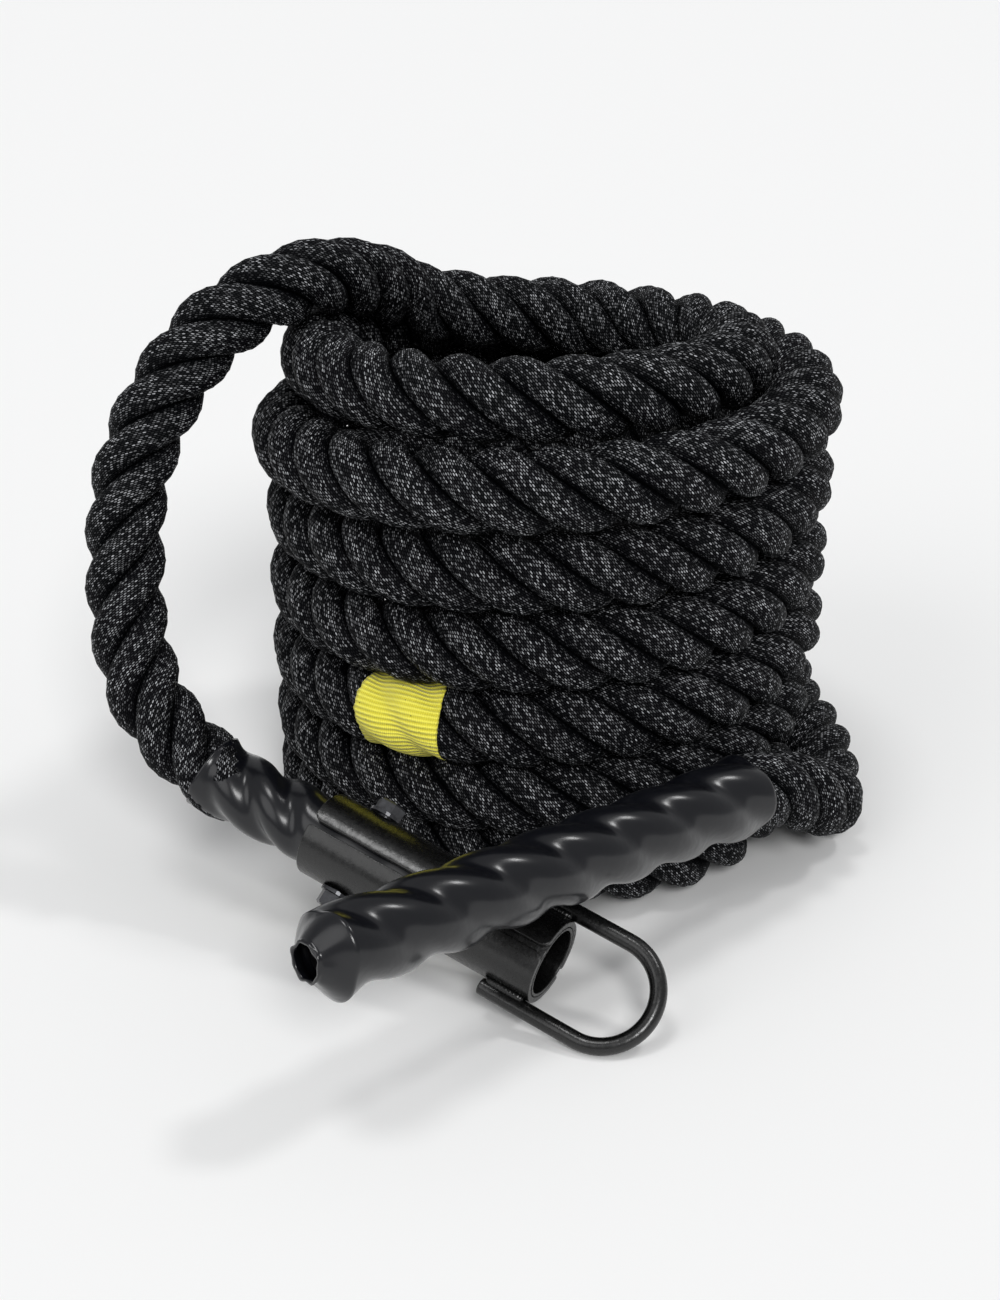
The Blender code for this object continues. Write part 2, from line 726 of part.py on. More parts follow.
def add_clamp():
    mouth = handle_start() + Vector(MOUTH_FROM_HANDLE)
    clamp = add_frame("clamp_frame", mouth, (CLAMP_ROLL, CLAMP_SLOPE, CLAMP_HEADING))
    hole = BOLT_RADIUS + BOLT_HOLE_CLEARANCE
    hole_length = 2 * (CLAMP_RADIUS + CUT_OVERRUN)
    place = (BOLT_FROM_REAR - CLAMP_LENGTH, 0, 0)
    bolt_cutter = cylinder_cutter("bolt_hole_cutter", hole, hole_length, clamp, place, "Y")
    add_shell("upper_shell", 1, SHELL_WIDE_CORNER, SHELL_WIDE_CORNER, clamp, bolt_cutter)
    add_shell("lower_shell", -1, SHELL_WIDE_CORNER, SHELL_CORNER, clamp, bolt_cutter)
    add_mouth_ring(clamp)
    add_clamp_shrink(clamp, bolt_cutter)
    core_radius = shrink_bore() - GAP
    rear = -(CLAMP_LENGTH + SHRINK_OUTSIDE)
    core = add_core("rope_clamp_core", rear, -SHRINK_MOUTH_INSET, core_radius, clamp)
    cut(core, bolt_cutter)
    add_end_tape("clamp_end_tape", -SHRINK_MOUTH_INSET, core_radius, clamp)
    add_bolt_set(clamp)
    add_pull_loop(clamp)
    add_welds(clamp)
    return clamp


def main():
    clear_scene()
    clamp = add_clamp()
    handle = add_handle()
    bpy.context.view_layer.update()
    floor_cutter = add_floor_cutter()
    add_coil(floor_cutter)
    add_marker_band()
    add_rope_loop(clamp)
    add_rope_tail(handle, floor_cutter)


main()
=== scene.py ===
"""Looks of the sled pulling rope: twisted rope, shrink sleeves, marker band, steel clamp, studio light.

Metres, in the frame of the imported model: +Z up, origin on the floor under the middle of the object.
"""

import math

import bmesh
import bpy
from mathutils import Matrix, Vector


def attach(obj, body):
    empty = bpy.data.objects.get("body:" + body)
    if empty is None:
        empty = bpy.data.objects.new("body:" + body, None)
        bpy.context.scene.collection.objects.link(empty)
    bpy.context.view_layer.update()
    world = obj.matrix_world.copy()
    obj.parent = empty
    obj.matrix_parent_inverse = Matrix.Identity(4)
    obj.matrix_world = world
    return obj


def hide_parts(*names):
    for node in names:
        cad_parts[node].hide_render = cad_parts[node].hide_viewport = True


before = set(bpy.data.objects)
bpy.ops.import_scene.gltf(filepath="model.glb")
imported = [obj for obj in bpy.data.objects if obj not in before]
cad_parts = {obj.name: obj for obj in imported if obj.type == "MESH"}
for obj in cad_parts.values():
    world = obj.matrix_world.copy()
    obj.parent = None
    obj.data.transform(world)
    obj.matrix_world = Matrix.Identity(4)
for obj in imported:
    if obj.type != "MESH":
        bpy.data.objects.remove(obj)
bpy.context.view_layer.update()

# Rope: one length of three strands, the lay of their twist, and its extra girth in the upper turns
STRAND_HELIX_RADIUS = 0.0103
STRAND_RADIAL = 0.0094
STRAND_TANGENTIAL = 0.0088
STRAND_AROUND = math.pi * (STRAND_RADIAL + STRAND_TANGENTIAL)
COIL_SWELL = 0.04
SWELL_FIRST_TURN = 6.5
SWELL_LAST_TURN = 1.6
SWELL_RUN = 0.12
LOBES_PER_TURN = 29
LOCKED_TURNS = 5.7
LAY = 0.082
HANDLE_LAY = 0.107
TAIL_TWIST = -0.11
STRANDS = 3
STRAND_SIDES = 22
COURSE_STEP = 0.0015
COURSE_STEPS_PER_RING = 3
SPLINE_STEPS = 24
EASING_ROUNDS = 40

# Coil: its axis, its turns counted up from the floor, and where they stand off its mean radius
COIL_X = 0.02979
COIL_Y = 0.07936
FLOOR_HEIGHT = 0.0150
VISUAL_FLOOR_HEIGHT = 0.0197
COIL_RADIUS = 0.1255
COIL_TURNS = 6.75
COIL_STEPS = 48
COIL_START_TURN = 0.25
JOIN_STEPS = 2
TURN_RISE = 0.0369
LEVEL_TURN = 6.0
FRONT_RISE = 0.00058
FRONT_SETTLE = 0.0012
BULGE = 0.0060
BULGE_TURN = 5.1
BULGE_TURNS = 0.45
INSET = 0.0440
INSET_TURN = 5.7
INSET_POWER = 1.2
SAG = 0.0070
SAG_TURN = 0.36
SAG_TURNS = 0.13
DENTS = (
    (-0.0060, 0.34, 0.100),
    (0.0130, 0.50, 0.085),
    (0.0050, 0.62, 0.070),
    (0.0035, 1.41, 0.120),
)

# Free loop from the coil's top to the clamp, and bottom run to the handle, from the coil's axis
LOOP_ROUTE = (
    (-0.062, 0.063, 0.2520),
    (-0.086, 0.040, 0.2700),
    (-0.112, 0.002, 0.2845),
    (-0.137, -0.020, 0.2830),
    (-0.161, -0.032, 0.2710),
    (-0.178, -0.042, 0.2540),
    (-0.192, -0.052, 0.2330),
    (-0.201, -0.060, 0.2130),
    (-0.2065, -0.068, 0.1910),
    (-0.2075, -0.077, 0.1670),
    (-0.2070, -0.088, 0.1420),
    (-0.2020, -0.099, 0.1190),
    (-0.1930, -0.110, 0.1000),
)
TAIL_ROUTE = (
    (-0.1180, 0.083, 0.0197),
    (-0.0670, 0.133, 0.0197),
    (0.0000, 0.152, 0.0197),
    (0.0740, 0.135, 0.0197),
    (0.1315, 0.073, 0.0197),
    (0.1480, 0.005, 0.0197),
    (0.1485, -0.030, 0.0198),
    (0.1460, -0.059, 0.0210),
    (0.1385, -0.0855, 0.0370),
    (0.1095, -0.1165, 0.0600),
)

# Handle, and the shrink sleeve on it
HANDLE_BEARING = math.radians(-53.73)
HANDLE_STAND_OFF = 0.0352
HANDLE_START_HEIGHT = 0.0640
HANDLE_HEADING = math.radians(-137.0)
HANDLE_RISE = math.radians(5.8)
HANDLE_LENGTH = 0.273
HANDLE_RADIUS = 0.0180
HANDLE_START_FLARE = 0.0016
HANDLE_END_FLARE = 0.0018
FLARE_LENGTH = 0.030
END_FLARE_LENGTH = 0.012
SLEEVE_LOBE = 0.0015
LOBE_FLATNESS = 0.15
SLEEVE_WALL = 0.0012
SLEEVE_SIDES = 72
EDGE_TEAR = 0.0004
EDGE_DEPTH = 0.0036
TEAR_WAVES = 5
FINE_TEAR_WAVES = 8
HANDLE_CONE = 0.011
HANDLE_HOLE = 0.0090
CONE_RINGS = 12
CONE_ROUND = 0.0008
LIP_REACH = 0.0015
LIP_FLARE = 0.0002
LIP_TEAR = 0.0004
LIP_END_TEAR = 0.0008
LIP_TEAR_LENGTH = 0.006
SQUEEZED_SHARE = 0.78
SQUEEZE_RUN = 0.012

# Clamp, the sleeve in it, its loop and the weld beads
MOUTH_FROM_HANDLE = (-0.0958, -0.0913, -0.0362)
CLAMP_ROLL = math.radians(41)
CLAMP_SLOPE = math.radians(13.4)
CLAMP_HEADING = math.radians(-30.7)
CLAMP_LENGTH = 0.130
CLAMP_RADIUS = 0.0210
CLAMP_WALL = 0.0030
SEAM_GAP = 0.0032
SHELL_CORNER = 0.0015
SHELL_WIDE_CORNER = 0.0045
SHELL_CORNER_STEPS = 10
SHELL_ARC_POINTS = 60
SHELL_EDGE = 0.0005
EDGE_STEPS = 5
PART_GAP = 0.0003
MOUTH_RING_WALL = 0.0016
MOUTH_RING_LENGTH = 0.0257
MOUTH_RING_SIDES = 120
SHRINK_OUTSIDE = 0.066
SHRINK_INSET = 0.026
SHRINK_RADIUS = 0.0168
SLEEVE_LOBE_CLAMP = 0.0016
INSIDE_LOBE_LOSS = 0.8
SHRINK_LIP = 0.0028
SHRINK_LIP_LENGTH = 0.010
LIP_LOBE_LENGTH = 0.009
LIP_DEPTH_RINGS = 12
ROPE_END_INSET = 0.004
TAPE_WALL = 0.0006
TAPE_LENGTH = 0.020
ROD_RADIUS = 0.0041
ROD_SIDES = 32
ROD_BEND_POINTS = 48
ROD_END_ROUND = 0.0011
LEG_ON_SHELL = 0.024
LEG_PAST_MOUTH = 0.027
WELD_LENGTH = 0.020
WELD_START = 0.002
WELD_RADIUS = 0.0020
WELD_ACROSS = 0.0219
WELD_RAISED = 0.0029
WELD_BUMP = 0.00022
WELD_RIPPLE = 0.0021
WELD_STEP = 0.00035
WELD_SIDES = 20
WELD_END_POWER = 8

# Marker band
BAND_FIRST_TURN = 2.1345
BAND_LAST_TURN = 2.188
BAND_RADIUS = 0.0186
BAND_LOBE = 0.0013
BAND_WALL = 0.0008
BAND_SIDES = 96
BAND_FRAY = 0.0007
FRAY_WAVES = 17
FINE_FRAY_WAVES = 29

# Camera: where it stands from the coil's foot, how it looks down, and its lens on a 24 mm tall sensor
CAMERA_OFFSET = (-0.0247, -1.0613, 0.5979)
CAMERA_PITCH = math.radians(26.066)
SENSOR_HEIGHT = 24
CAMERA_LENS = 40.615


# Paths


def from_coil(place):
    return Vector((COIL_X, COIL_Y, 0)) + Vector(place)


def bell(value, middle, width):
    return math.exp(-(((value - middle) / width) ** 2))


def coil_radius(turns):
    inset = max(0.0, (turns - INSET_TURN) / (COIL_TURNS - INSET_TURN)) ** INSET_POWER
    bulge = BULGE * bell(turns, BULGE_TURN, BULGE_TURNS)
    dent = sum(depth * bell(turns, middle, spread) for depth, middle, spread in DENTS)
    return COIL_RADIUS + bulge - dent - INSET * inset


def coil_point(turns):
    """The rope's centre, some turns up from where the coil leaves the floor at its left side."""
    angle = 2 * math.pi * (COIL_START_TURN - turns)
    front_share = (1 + math.cos(angle)) / 2
    height = FLOOR_HEIGHT + TURN_RISE * min(turns, LEVEL_TURN)
    height += (FRONT_RISE * turns**2 - FRONT_SETTLE * min(turns, 1)) * front_share
    height -= SAG * bell(turns, SAG_TURN, SAG_TURNS)
    height += (VISUAL_FLOOR_HEIGHT - FLOOR_HEIGHT) * max(0.0, 1 - turns)
    radius = coil_radius(turns)
    return from_coil((-radius * math.sin(angle), -radius * math.cos(angle), height))


def smooth_curve(route):
    """Dense points on a Catmull-Rom curve through the route's own points."""
    ends = [2 * route[0] - route[1], *route, 2 * route[-1] - route[-2]]
    points = []
    for a, b, c, d in zip(ends, ends[1:], ends[2:], ends[3:]):
        bend = 2 * a - 5 * b + 4 * c - d
        turn = 3 * b - a - 3 * c + d
        for i in range(SPLINE_STEPS):
            t = i / SPLINE_STEPS
            points.append((2 * b + (c - a) * t + bend * t**2 + turn * t**3) / 2)
    return points + [route[-1]]


def even_points(points, step):
    """Points along a dense line, one step apart as nearly as they divide it."""
    lengths = [0.0]
    for a, b in zip(points, points[1:]):
        lengths.append(lengths[-1] + (b - a).length)
    count = max(2, round(lengths[-1] / step))
    found = []
    at = 0
    for i in range(count + 1):
        wanted = lengths[-1] * i / count
        while at < len(points) - 2 and lengths[at + 1] < wanted:
            at += 1
        share = (wanted - lengths[at]) / (lengths[at + 1] - lengths[at])
        found.append(points[at].lerp(points[at + 1], min(share, 1)))
    return found


def path_length(points):
    return sum((b - a).length for a, b in zip(points, points[1:]))


def softened(points, rounds):
    """The same line with its kinks eased: each point moves towards the middle of its neighbours."""
    for _ in range(rounds):
        middle = [(a + 2 * b + c) / 4 for a, b, c in zip(points, points[1:], points[2:])]
        points = [points[0], *middle, points[-1]]
    return points


def frame_matrix(place, rotation):
    turned = Matrix.Rotation(rotation[2], 4, "Z") @ Matrix.Rotation(rotation[1], 4, "Y")
    turned = turned @ Matrix.Rotation(rotation[0], 4, "X")
    return Matrix.Translation(place) @ turned


def handle_start():
    reach = COIL_RADIUS + HANDLE_STAND_OFF
    across = reach * math.cos(HANDLE_BEARING)
    return from_coil((across, reach * math.sin(HANDLE_BEARING), HANDLE_START_HEIGHT))


HANDLE_FRAME = frame_matrix(handle_start(), (0, -HANDLE_RISE, HANDLE_HEADING))
CLAMP_MOUTH = handle_start() + Vector(MOUTH_FROM_HANDLE)
CLAMP_FRAME = frame_matrix(CLAMP_MOUTH, (CLAMP_ROLL, CLAMP_SLOPE, CLAMP_HEADING))


def rope_path():
    """The whole rope's centre line, from the clamp's mouth, over the coil, to the handle's free end."""
    clamp_rear = CLAMP_FRAME @ Vector((-CLAMP_LENGTH, 0, 0))
    clamp_out = CLAMP_FRAME @ Vector((-CLAMP_LENGTH - SHRINK_OUTSIDE, 0, 0))
    loop = [from_coil(p) for p in reversed(LOOP_ROUTE)]
    coil_steps = int(COIL_TURNS * COIL_STEPS)
    coil = [coil_point(COIL_TURNS - i / COIL_STEPS) for i in range(coil_steps + 1)]
    tail = [from_coil(p) for p in TAIL_ROUTE]
    handle_in = HANDLE_FRAME @ Vector((0, 0, 0))
    handle_middle = HANDLE_FRAME @ Vector((HANDLE_LENGTH / 3, 0, 0))
    handle_end = HANDLE_FRAME @ Vector((HANDLE_LENGTH, 0, 0))
    first = smooth_curve([CLAMP_MOUTH, clamp_rear, clamp_out, *loop, coil[JOIN_STEPS]])
    last = smooth_curve([coil[-JOIN_STEPS], *tail, handle_in, handle_middle, handle_end])
    whole = first[:-1] + coil[JOIN_STEPS:-JOIN_STEPS] + last
    return softened(even_points(whole, COURSE_STEP), EASING_ROUNDS)


def moving_frames(points):
    """Tangent and two cross directions at each point, carried along without extra twist."""
    frames = []
    last = len(points) - 1
    across = None
    for i in range(len(points)):
        along = (points[min(i + 1, last)] - points[max(i - 1, 0)]).normalized()
        if across is None:
            across = along.orthogonal().normalized()
        across = (across - along * across.dot(along)).normalized()
        frames.append((along, across, along.cross(across)))
    return frames


def nearest_index(points, place):
    return min(range(len(points)), key=lambda i: (points[i] - place).length)


def rope_course():
    """The centre line's stations: length so far, point, tangent, two cross directions, strands' turn.

    The strands turn with the rope's lay. In the coil they turn by a whole number of lobes in each
    turn, counted from straight up, so each turn's bumps lie in the hollows of the turn below.
    """
    points = rope_path()
    first = nearest_index(points, coil_point(LOCKED_TURNS))
    last = nearest_index(points, coil_point(0))
    handle = nearest_index(points, HANDLE_FRAME @ Vector((0, 0, 0)))
    tail_length = path_length(points[last : handle + 1])
    gone = 0.0
    turned = 0.0
    turns = LOCKED_TURNS
    last_up = 0.0
    stations = []
    for i, (point, (along, across, over)) in enumerate(zip(points, moving_frames(points))):
        step = (point - points[i - 1]).length if i else 0.0
        gone += step
        up = math.atan2(over.z, across.z)
        if first < i <= last:
            now = math.atan2(point.y - COIL_Y, point.x - COIL_X) / (2 * math.pi) + 0.5
            now += round(turns - now)
            swing = (up - last_up + math.pi) % (2 * math.pi) - math.pi
            turned += (turns - now) * 2 * math.pi * LOBES_PER_TURN / STRANDS + swing
            turns = now
        elif i > handle:
            turned += 2 * math.pi * step / HANDLE_LAY
        else:
            turned += 2 * math.pi * step / LAY
            if i > last:
                turned += TAIL_TWIST * step / tail_length
        last_up = up
        stations.append((gone, point, along, across, over, turned))
    return stations


def nearest(stations, place):
    """The length along the rope at which it passes nearest a place."""
    return min(stations, key=lambda station: (station[1] - place).length)[0]


COURSE = rope_course()
ROPE_LENGTH = COURSE[-1][0]
CLAMP_REAR_AT = nearest(COURSE, CLAMP_FRAME @ Vector((-CLAMP_LENGTH, 0, 0)))
SHRINK_END_AT = CLAMP_REAR_AT + SHRINK_OUTSIDE
HANDLE_AT = nearest(COURSE, HANDLE_FRAME @ Vector((0, 0, 0)))
SWELL_FROM = nearest(COURSE, coil_point(SWELL_FIRST_TURN))
SWELL_TO = nearest(COURSE, coil_point(SWELL_LAST_TURN))


def eased(share):
    share = max(0.0, min(1.0, share))
    return share * share * (3 - 2 * share)


def squeeze(gone):
    """How thin the rope is pressed: full outside the shrink sleeves, less inside them."""
    depth = max(SHRINK_END_AT - SQUEEZE_RUN - gone, gone - HANDLE_AT)
    return 1 - (1 - SQUEEZED_SHARE) * eased(depth / SQUEEZE_RUN)


def swell(gone):
    """How much fatter the rope is in the coil's upper turns, which closes the gaps between them."""
    depth = min(gone - SWELL_FROM, SWELL_TO - gone)
    return 1 + COIL_SWELL * eased(depth / SWELL_RUN)


# Meshes


def band_faces(rows):
    """The four-sided faces between neighbouring rings of equally many points."""
    count = len(rows[0])
    faces = []
    for start in range(0, count * (len(rows) - 1), count):
        for k in range(count):
            n = (k + 1) % count
            faces.append((start + k, start + n, start + count + n, start + count + k))
    return faces


def mesh_of(name, rows, faces):
    mesh = bpy.data.meshes.new(name)
    mesh.from_pydata([point for row in rows for point in row], [], faces)
    return mesh


def grid_mesh(name, rows, uv_rows):
    """A mesh of rings of points, with UVs in metres."""
    mesh = mesh_of(name, rows, band_faces(rows))
    uvs = []
    for here, after in zip(uv_rows, uv_rows[1:]):
        for k in range(len(rows[0])):
            uvs += [here[k], here[k + 1], after[k + 1], after[k]]
    layer = mesh.uv_layers.new(name="UVMap")
    for i, uv in enumerate(uvs):
        layer.data[i].uv = uv
    mesh.shade_smooth()
    return mesh


def add_piece(name, mesh, material, slot, *nodes):
    item = bpy.data.objects.new(name, mesh)
    bpy.context.scene.collection.objects.link(item)
    item.data.materials.append(material)
    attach(item, "root")
    if nodes:
        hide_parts(*nodes)
    return item


def strand_rows(stations, strand):
    """One strand's rings and their UVs, drawn together to a point at each end."""
    rows = []
    uv_rows = []
    rate = 2 * math.pi / LAY
    stretch = math.sqrt(1 + (rate * STRAND_HELIX_RADIUS) ** 2)
    for gone, point, along, across, over, turned in stations:
        angle = turned + 2 * math.pi * strand / STRANDS
        outward = math.cos(angle) * across + math.sin(angle) * over
        turning = math.cos(angle) * over - math.sin(angle) * across
        forward = (along + turning * rate * STRAND_HELIX_RADIUS).normalized()
        sideways = forward.cross(outward)
        thin = squeeze(gone) * swell(gone)
        centre = point + outward * STRAND_HELIX_RADIUS * thin
        row = []
        for k in range(STRAND_SIDES):
            a = 2 * math.pi * k / STRAND_SIDES
            raised = outward * STRAND_RADIAL * math.cos(a) + sideways * STRAND_TANGENTIAL * math.sin(a)
            row.append(centre + raised * thin)
        rows.append(row)
        uv_rows.append([(gone * stretch, STRAND_AROUND * k / STRAND_SIDES) for k in range(STRAND_SIDES + 1)])
    centre_uv = [(0.0, 0.0)] * (STRAND_SIDES + 1)
    first = sum(rows[0], Vector()) / STRAND_SIDES
    last = sum(rows[-1], Vector()) / STRAND_SIDES
    rows = [[first] * STRAND_SIDES, *rows, [last] * STRAND_SIDES]
    return rows, [centre_uv, *uv_rows, centre_uv]


def joined(name, meshes):
    """One mesh of several."""
    shape = bmesh.new()
    for mesh in meshes:
        shape.from_mesh(mesh)
    mesh = bpy.data.meshes.new(name)
    shape.to_mesh(mesh)
    shape.free()
    mesh.shade_smooth()
    return mesh


def between(start, end):
    """The rope's stations between two lengths along it."""
    return [station for station in COURSE if start <= station[0] <= end]


def add_rope(material):
    start = SHRINK_INSET + ROPE_END_INSET
    end = ROPE_LENGTH - HANDLE_CONE - SLEEVE_WALL - TAPE_WALL
    stations = between(start, end)[::COURSE_STEPS_PER_RING]
    strands = []
    for strand in range(STRANDS):
        rows, uv_rows = strand_rows(stations, strand)
        strands.append(grid_mesh("strand", rows, uv_rows))
    rope = add_piece(
        "rope", joined("rope", strands), material, "rope_fibre",
        "rope_coil", "rope_loop", "rope_tail", "rope_handle_core", "rope_clamp_core",
    )
    return rope


def lobed_ring(station, radius, lobe, sides, ragged=0.0, seed=0):
    """A ring about the rope that bulges over its three strands, uneven by ragged where it is a torn edge."""
    _, point, _, across, over, phase = station
    ring = []
    for k in range(sides):
        a = 2 * math.pi * k / sides
        turn = STRANDS * (a - phase)
        wave = math.cos(turn) - LOBE_FLATNESS * math.cos(2 * turn)
        torn = ragged * (math.sin(TEAR_WAVES * a + seed) + math.sin(FINE_TEAR_WAVES * a + 2 * seed)) / 2
        reach = radius + lobe * wave + torn
        ring.append(point + (across * math.cos(a) + over * math.sin(a)) * reach)
    return ring


def tube_mesh(name, rings, around):
    """A mesh of rings with UVs in metres: along the tube, and round it."""
    sides = len(rings[0])
    gone = 0.0
    uv_rows = []
    for i, ring in enumerate(rings):
        if i:
            gone += (ring[0] - rings[i - 1][0]).length
        uv_rows.append([(gone, around * k / sides) for k in range(sides + 1)])
    return grid_mesh(name, rings, uv_rows)


def moved(station, step):
    """The same station, a little further along the rope."""
    gone, point, along, across, over, turned = station
    further = turned + 2 * math.pi * step / HANDLE_LAY
    return (gone + step, point + along * step, along, across, over, further)


def handle_radius(depth):
    """The handle sleeve's radius, some way in from the end where the rope goes in."""
    start = HANDLE_START_FLARE * math.exp(-depth / FLARE_LENGTH)
    end = HANDLE_END_FLARE * math.exp(-(HANDLE_LENGTH - HANDLE_CONE - depth) / END_FLARE_LENGTH)
    return HANDLE_RADIUS + start + end


def add_handle_sleeve(material):
    """The handle's sleeve: in round its first edge, along the grip, over the end, and in through its hole."""
    rings = []
    stations = between(HANDLE_AT, ROPE_LENGTH - HANDLE_CONE)
    first = stations[0]
    inner = handle_radius(0) - SLEEVE_WALL
    rings.append(lobed_ring(moved(first, EDGE_DEPTH), inner - SLEEVE_WALL, SLEEVE_LOBE, SLEEVE_SIDES))
    rings.append(lobed_ring(first, inner, SLEEVE_LOBE, SLEEVE_SIDES, EDGE_TEAR, 1))
    for station in stations[1:]:
        depth = station[0] - HANDLE_AT
        rings.append(lobed_ring(station, handle_radius(depth), SLEEVE_LOBE, SLEEVE_SIDES))
    last = stations[-1]
    full = handle_radius(last[0] - HANDLE_AT)
    for i in range(1, CONE_RINGS + 1):
        share = i / CONE_RINGS
        rounded = CONE_ROUND * math.sin(share * math.pi) * (1 - share)
        radius = full + (HANDLE_HOLE - full) * share + rounded
        lobe = SLEEVE_LOBE * (1 - share)
        ring = lobed_ring(moved(last, HANDLE_CONE * share), radius, lobe, SLEEVE_SIDES, LIP_TEAR * share, 2)
        rings.append(ring)
    lip = moved(last, HANDLE_CONE + LIP_REACH)
    hole = moved(last, HANDLE_CONE)
    lip_radius = HANDLE_HOLE + LIP_FLARE
    rings.append(lobed_ring(lip, lip_radius, 0, SLEEVE_SIDES, LIP_END_TEAR, 3))
    rings.append(lobed_ring(lip, lip_radius - SLEEVE_WALL, 0, SLEEVE_SIDES, LIP_END_TEAR, 3))
    rings.append(lobed_ring(hole, HANDLE_HOLE - SLEEVE_WALL, 0, SLEEVE_SIDES, LIP_TEAR, 2))
    rings.append(lobed_ring(moved(last, SLEEVE_WALL), full - 2 * SLEEVE_WALL, 0, SLEEVE_SIDES))
    mesh = tube_mesh("handle_sleeve", rings, 2 * math.pi * HANDLE_RADIUS)
    add_piece("handle_sleeve", mesh, material, "shrink_sleeve", "handle_grip")


def add_clamp_sleeve(material):
    """The sleeve on the rope's other end: flatter inside the clamp, flared and torn at its outer lip."""
    stations = between(SHRINK_INSET, SHRINK_END_AT)
    rings = []
    inner = []
    for station in stations:
        into_clamp = eased((CLAMP_REAR_AT - station[0]) / SQUEEZE_RUN + 1)
        from_lip = SHRINK_END_AT - station[0]
        lobe = SLEEVE_LOBE_CLAMP * (1 - INSIDE_LOBE_LOSS * into_clamp)
        lobe *= 1 - math.exp(-from_lip / LIP_LOBE_LENGTH)
        radius = SHRINK_RADIUS + SHRINK_LIP * math.exp(-from_lip / SHRINK_LIP_LENGTH)
        tear = LIP_TEAR * math.exp(-from_lip / LIP_TEAR_LENGTH)
        rings.append(lobed_ring(station, radius, lobe, SLEEVE_SIDES, tear, 4))
        inner.append(lobed_ring(station, radius - SLEEVE_WALL, lobe, SLEEVE_SIDES, tear, 4))
    back = inner[::-1][:LIP_DEPTH_RINGS]
    front = lobed_ring(stations[0], SHRINK_RADIUS - SLEEVE_WALL, 0, SLEEVE_SIDES)
    mesh = tube_mesh("clamp_sleeve", [front, *rings, *back], 2 * math.pi * SHRINK_RADIUS)
    add_piece("clamp_sleeve", mesh, material, "shrink_sleeve", "clamp_shrink")


def add_end_tape(name, material, start, end, tip_at_end, *nodes):
    """Tape round the rope's cut end, closed over it."""
    stations = between(start, end)
    radius = SQUEEZED_SHARE * (STRAND_HELIX_RADIUS + STRAND_RADIAL) + TAPE_WALL
    rings = [lobed_ring(station, radius, 0, BAND_SIDES) for station in stations]
    tip = stations[-1] if tip_at_end else stations[0]
    step = TAPE_WALL if tip_at_end else -TAPE_WALL
    beyond = moved(tip, step)
    closing = [lobed_ring(beyond, radius - TAPE_WALL, 0, BAND_SIDES), [beyond[1]] * BAND_SIDES]
    rings = rings + closing if tip_at_end else closing[::-1] + rings
    mesh = tube_mesh(name, rings, 2 * math.pi * radius)
    add_piece(name, mesh, material, "end_tape", *nodes)


def frayed(ring, along):
    """A cloth edge whose threads end unevenly."""
    turn = 2 * math.pi / len(ring)
    ends = []
    for k in range(len(ring)):
        ends.append(math.sin(FRAY_WAVES * turn * k) + math.sin(FINE_FRAY_WAVES * turn * k + 1))
    return [point + along * BAND_FRAY * end / 2 for point, end in zip(ring, ends)]


def add_band(material):
    """The marker tape, which lies tight on the strands and bridges the grooves between them."""
    start = nearest(COURSE, coil_point(BAND_LAST_TURN))
    end = nearest(COURSE, coil_point(BAND_FIRST_TURN))
    stations = between(start, end)
    radius = BAND_RADIUS * swell(start)
    rings = [lobed_ring(station, radius, BAND_LOBE, BAND_SIDES) for station in stations]
    rings[0] = frayed(rings[0], stations[0][2])
    rings[-1] = frayed(rings[-1], stations[-1][2])
    first = lobed_ring(stations[0], radius - BAND_WALL, BAND_LOBE, BAND_SIDES)
    last = lobed_ring(stations[-1], radius - BAND_WALL, BAND_LOBE, BAND_SIDES)
    mesh = tube_mesh("band", [first, *rings, last], 2 * math.pi * BAND_RADIUS)
    add_piece("band", mesh, material, "marker_cloth", "marker_band")


def seam_angle(from_end, corner):
    """The angle from a shell's middle to its seam edge, drawn in at a rounded corner near an end."""
    full = math.pi / 2 - (SEAM_GAP / 2) / CLAMP_RADIUS
    if from_end >= corner:
        return full
    return full - (corner - math.sqrt(corner**2 - (corner - from_end) ** 2)) / CLAMP_RADIUS


def quarter_turn(steps):
    """Even angles from 0 to 90 degrees."""
    return [math.pi / 2 * i / steps for i in range(steps + 1)]


def edge_inset(from_end):
    """How far a rounded edge stands back from the full shape, near an end."""
    if from_end >= SHELL_EDGE:
        return 0.0
    return SHELL_EDGE - math.sqrt(SHELL_EDGE**2 - (SHELL_EDGE - from_end) ** 2)


def shell_section(x, low, high, side, inset):
    """A shell's closed section with rounded edges: along its outside, then back along its inside."""
    outer = CLAMP_RADIUS - inset - SHELL_EDGE
    inner = CLAMP_RADIUS - CLAMP_WALL + inset + SHELL_EDGE
    turn = SHELL_EDGE / CLAMP_RADIUS
    start = turn - low + inset / CLAMP_RADIUS
    end = high - turn - inset / CLAMP_RADIUS
    corner = [(math.sin(a), math.cos(a)) for a in quarter_turn(EDGE_STEPS)]
    middle = [start + (end - start) * i / SHELL_ARC_POINTS for i in range(1, SHELL_ARC_POINTS)]
    outside = [(start - turn * cos, outer + SHELL_EDGE * sin) for sin, cos in corner]
    outside += [(angle, outer + SHELL_EDGE) for angle in middle]
    outside += [(end + turn * sin, outer + SHELL_EDGE * cos) for sin, cos in corner]
    inside = [(start - turn * cos, inner - SHELL_EDGE * sin) for sin, cos in corner]
    inside += [(angle, inner - SHELL_EDGE) for angle in middle]
    inside += [(end + turn * sin, inner - SHELL_EDGE * cos) for sin, cos in corner]
    section = outside + inside[::-1]
    return [CLAMP_FRAME @ Vector((x, side * r * math.cos(a), r * math.sin(a))) for a, r in section]


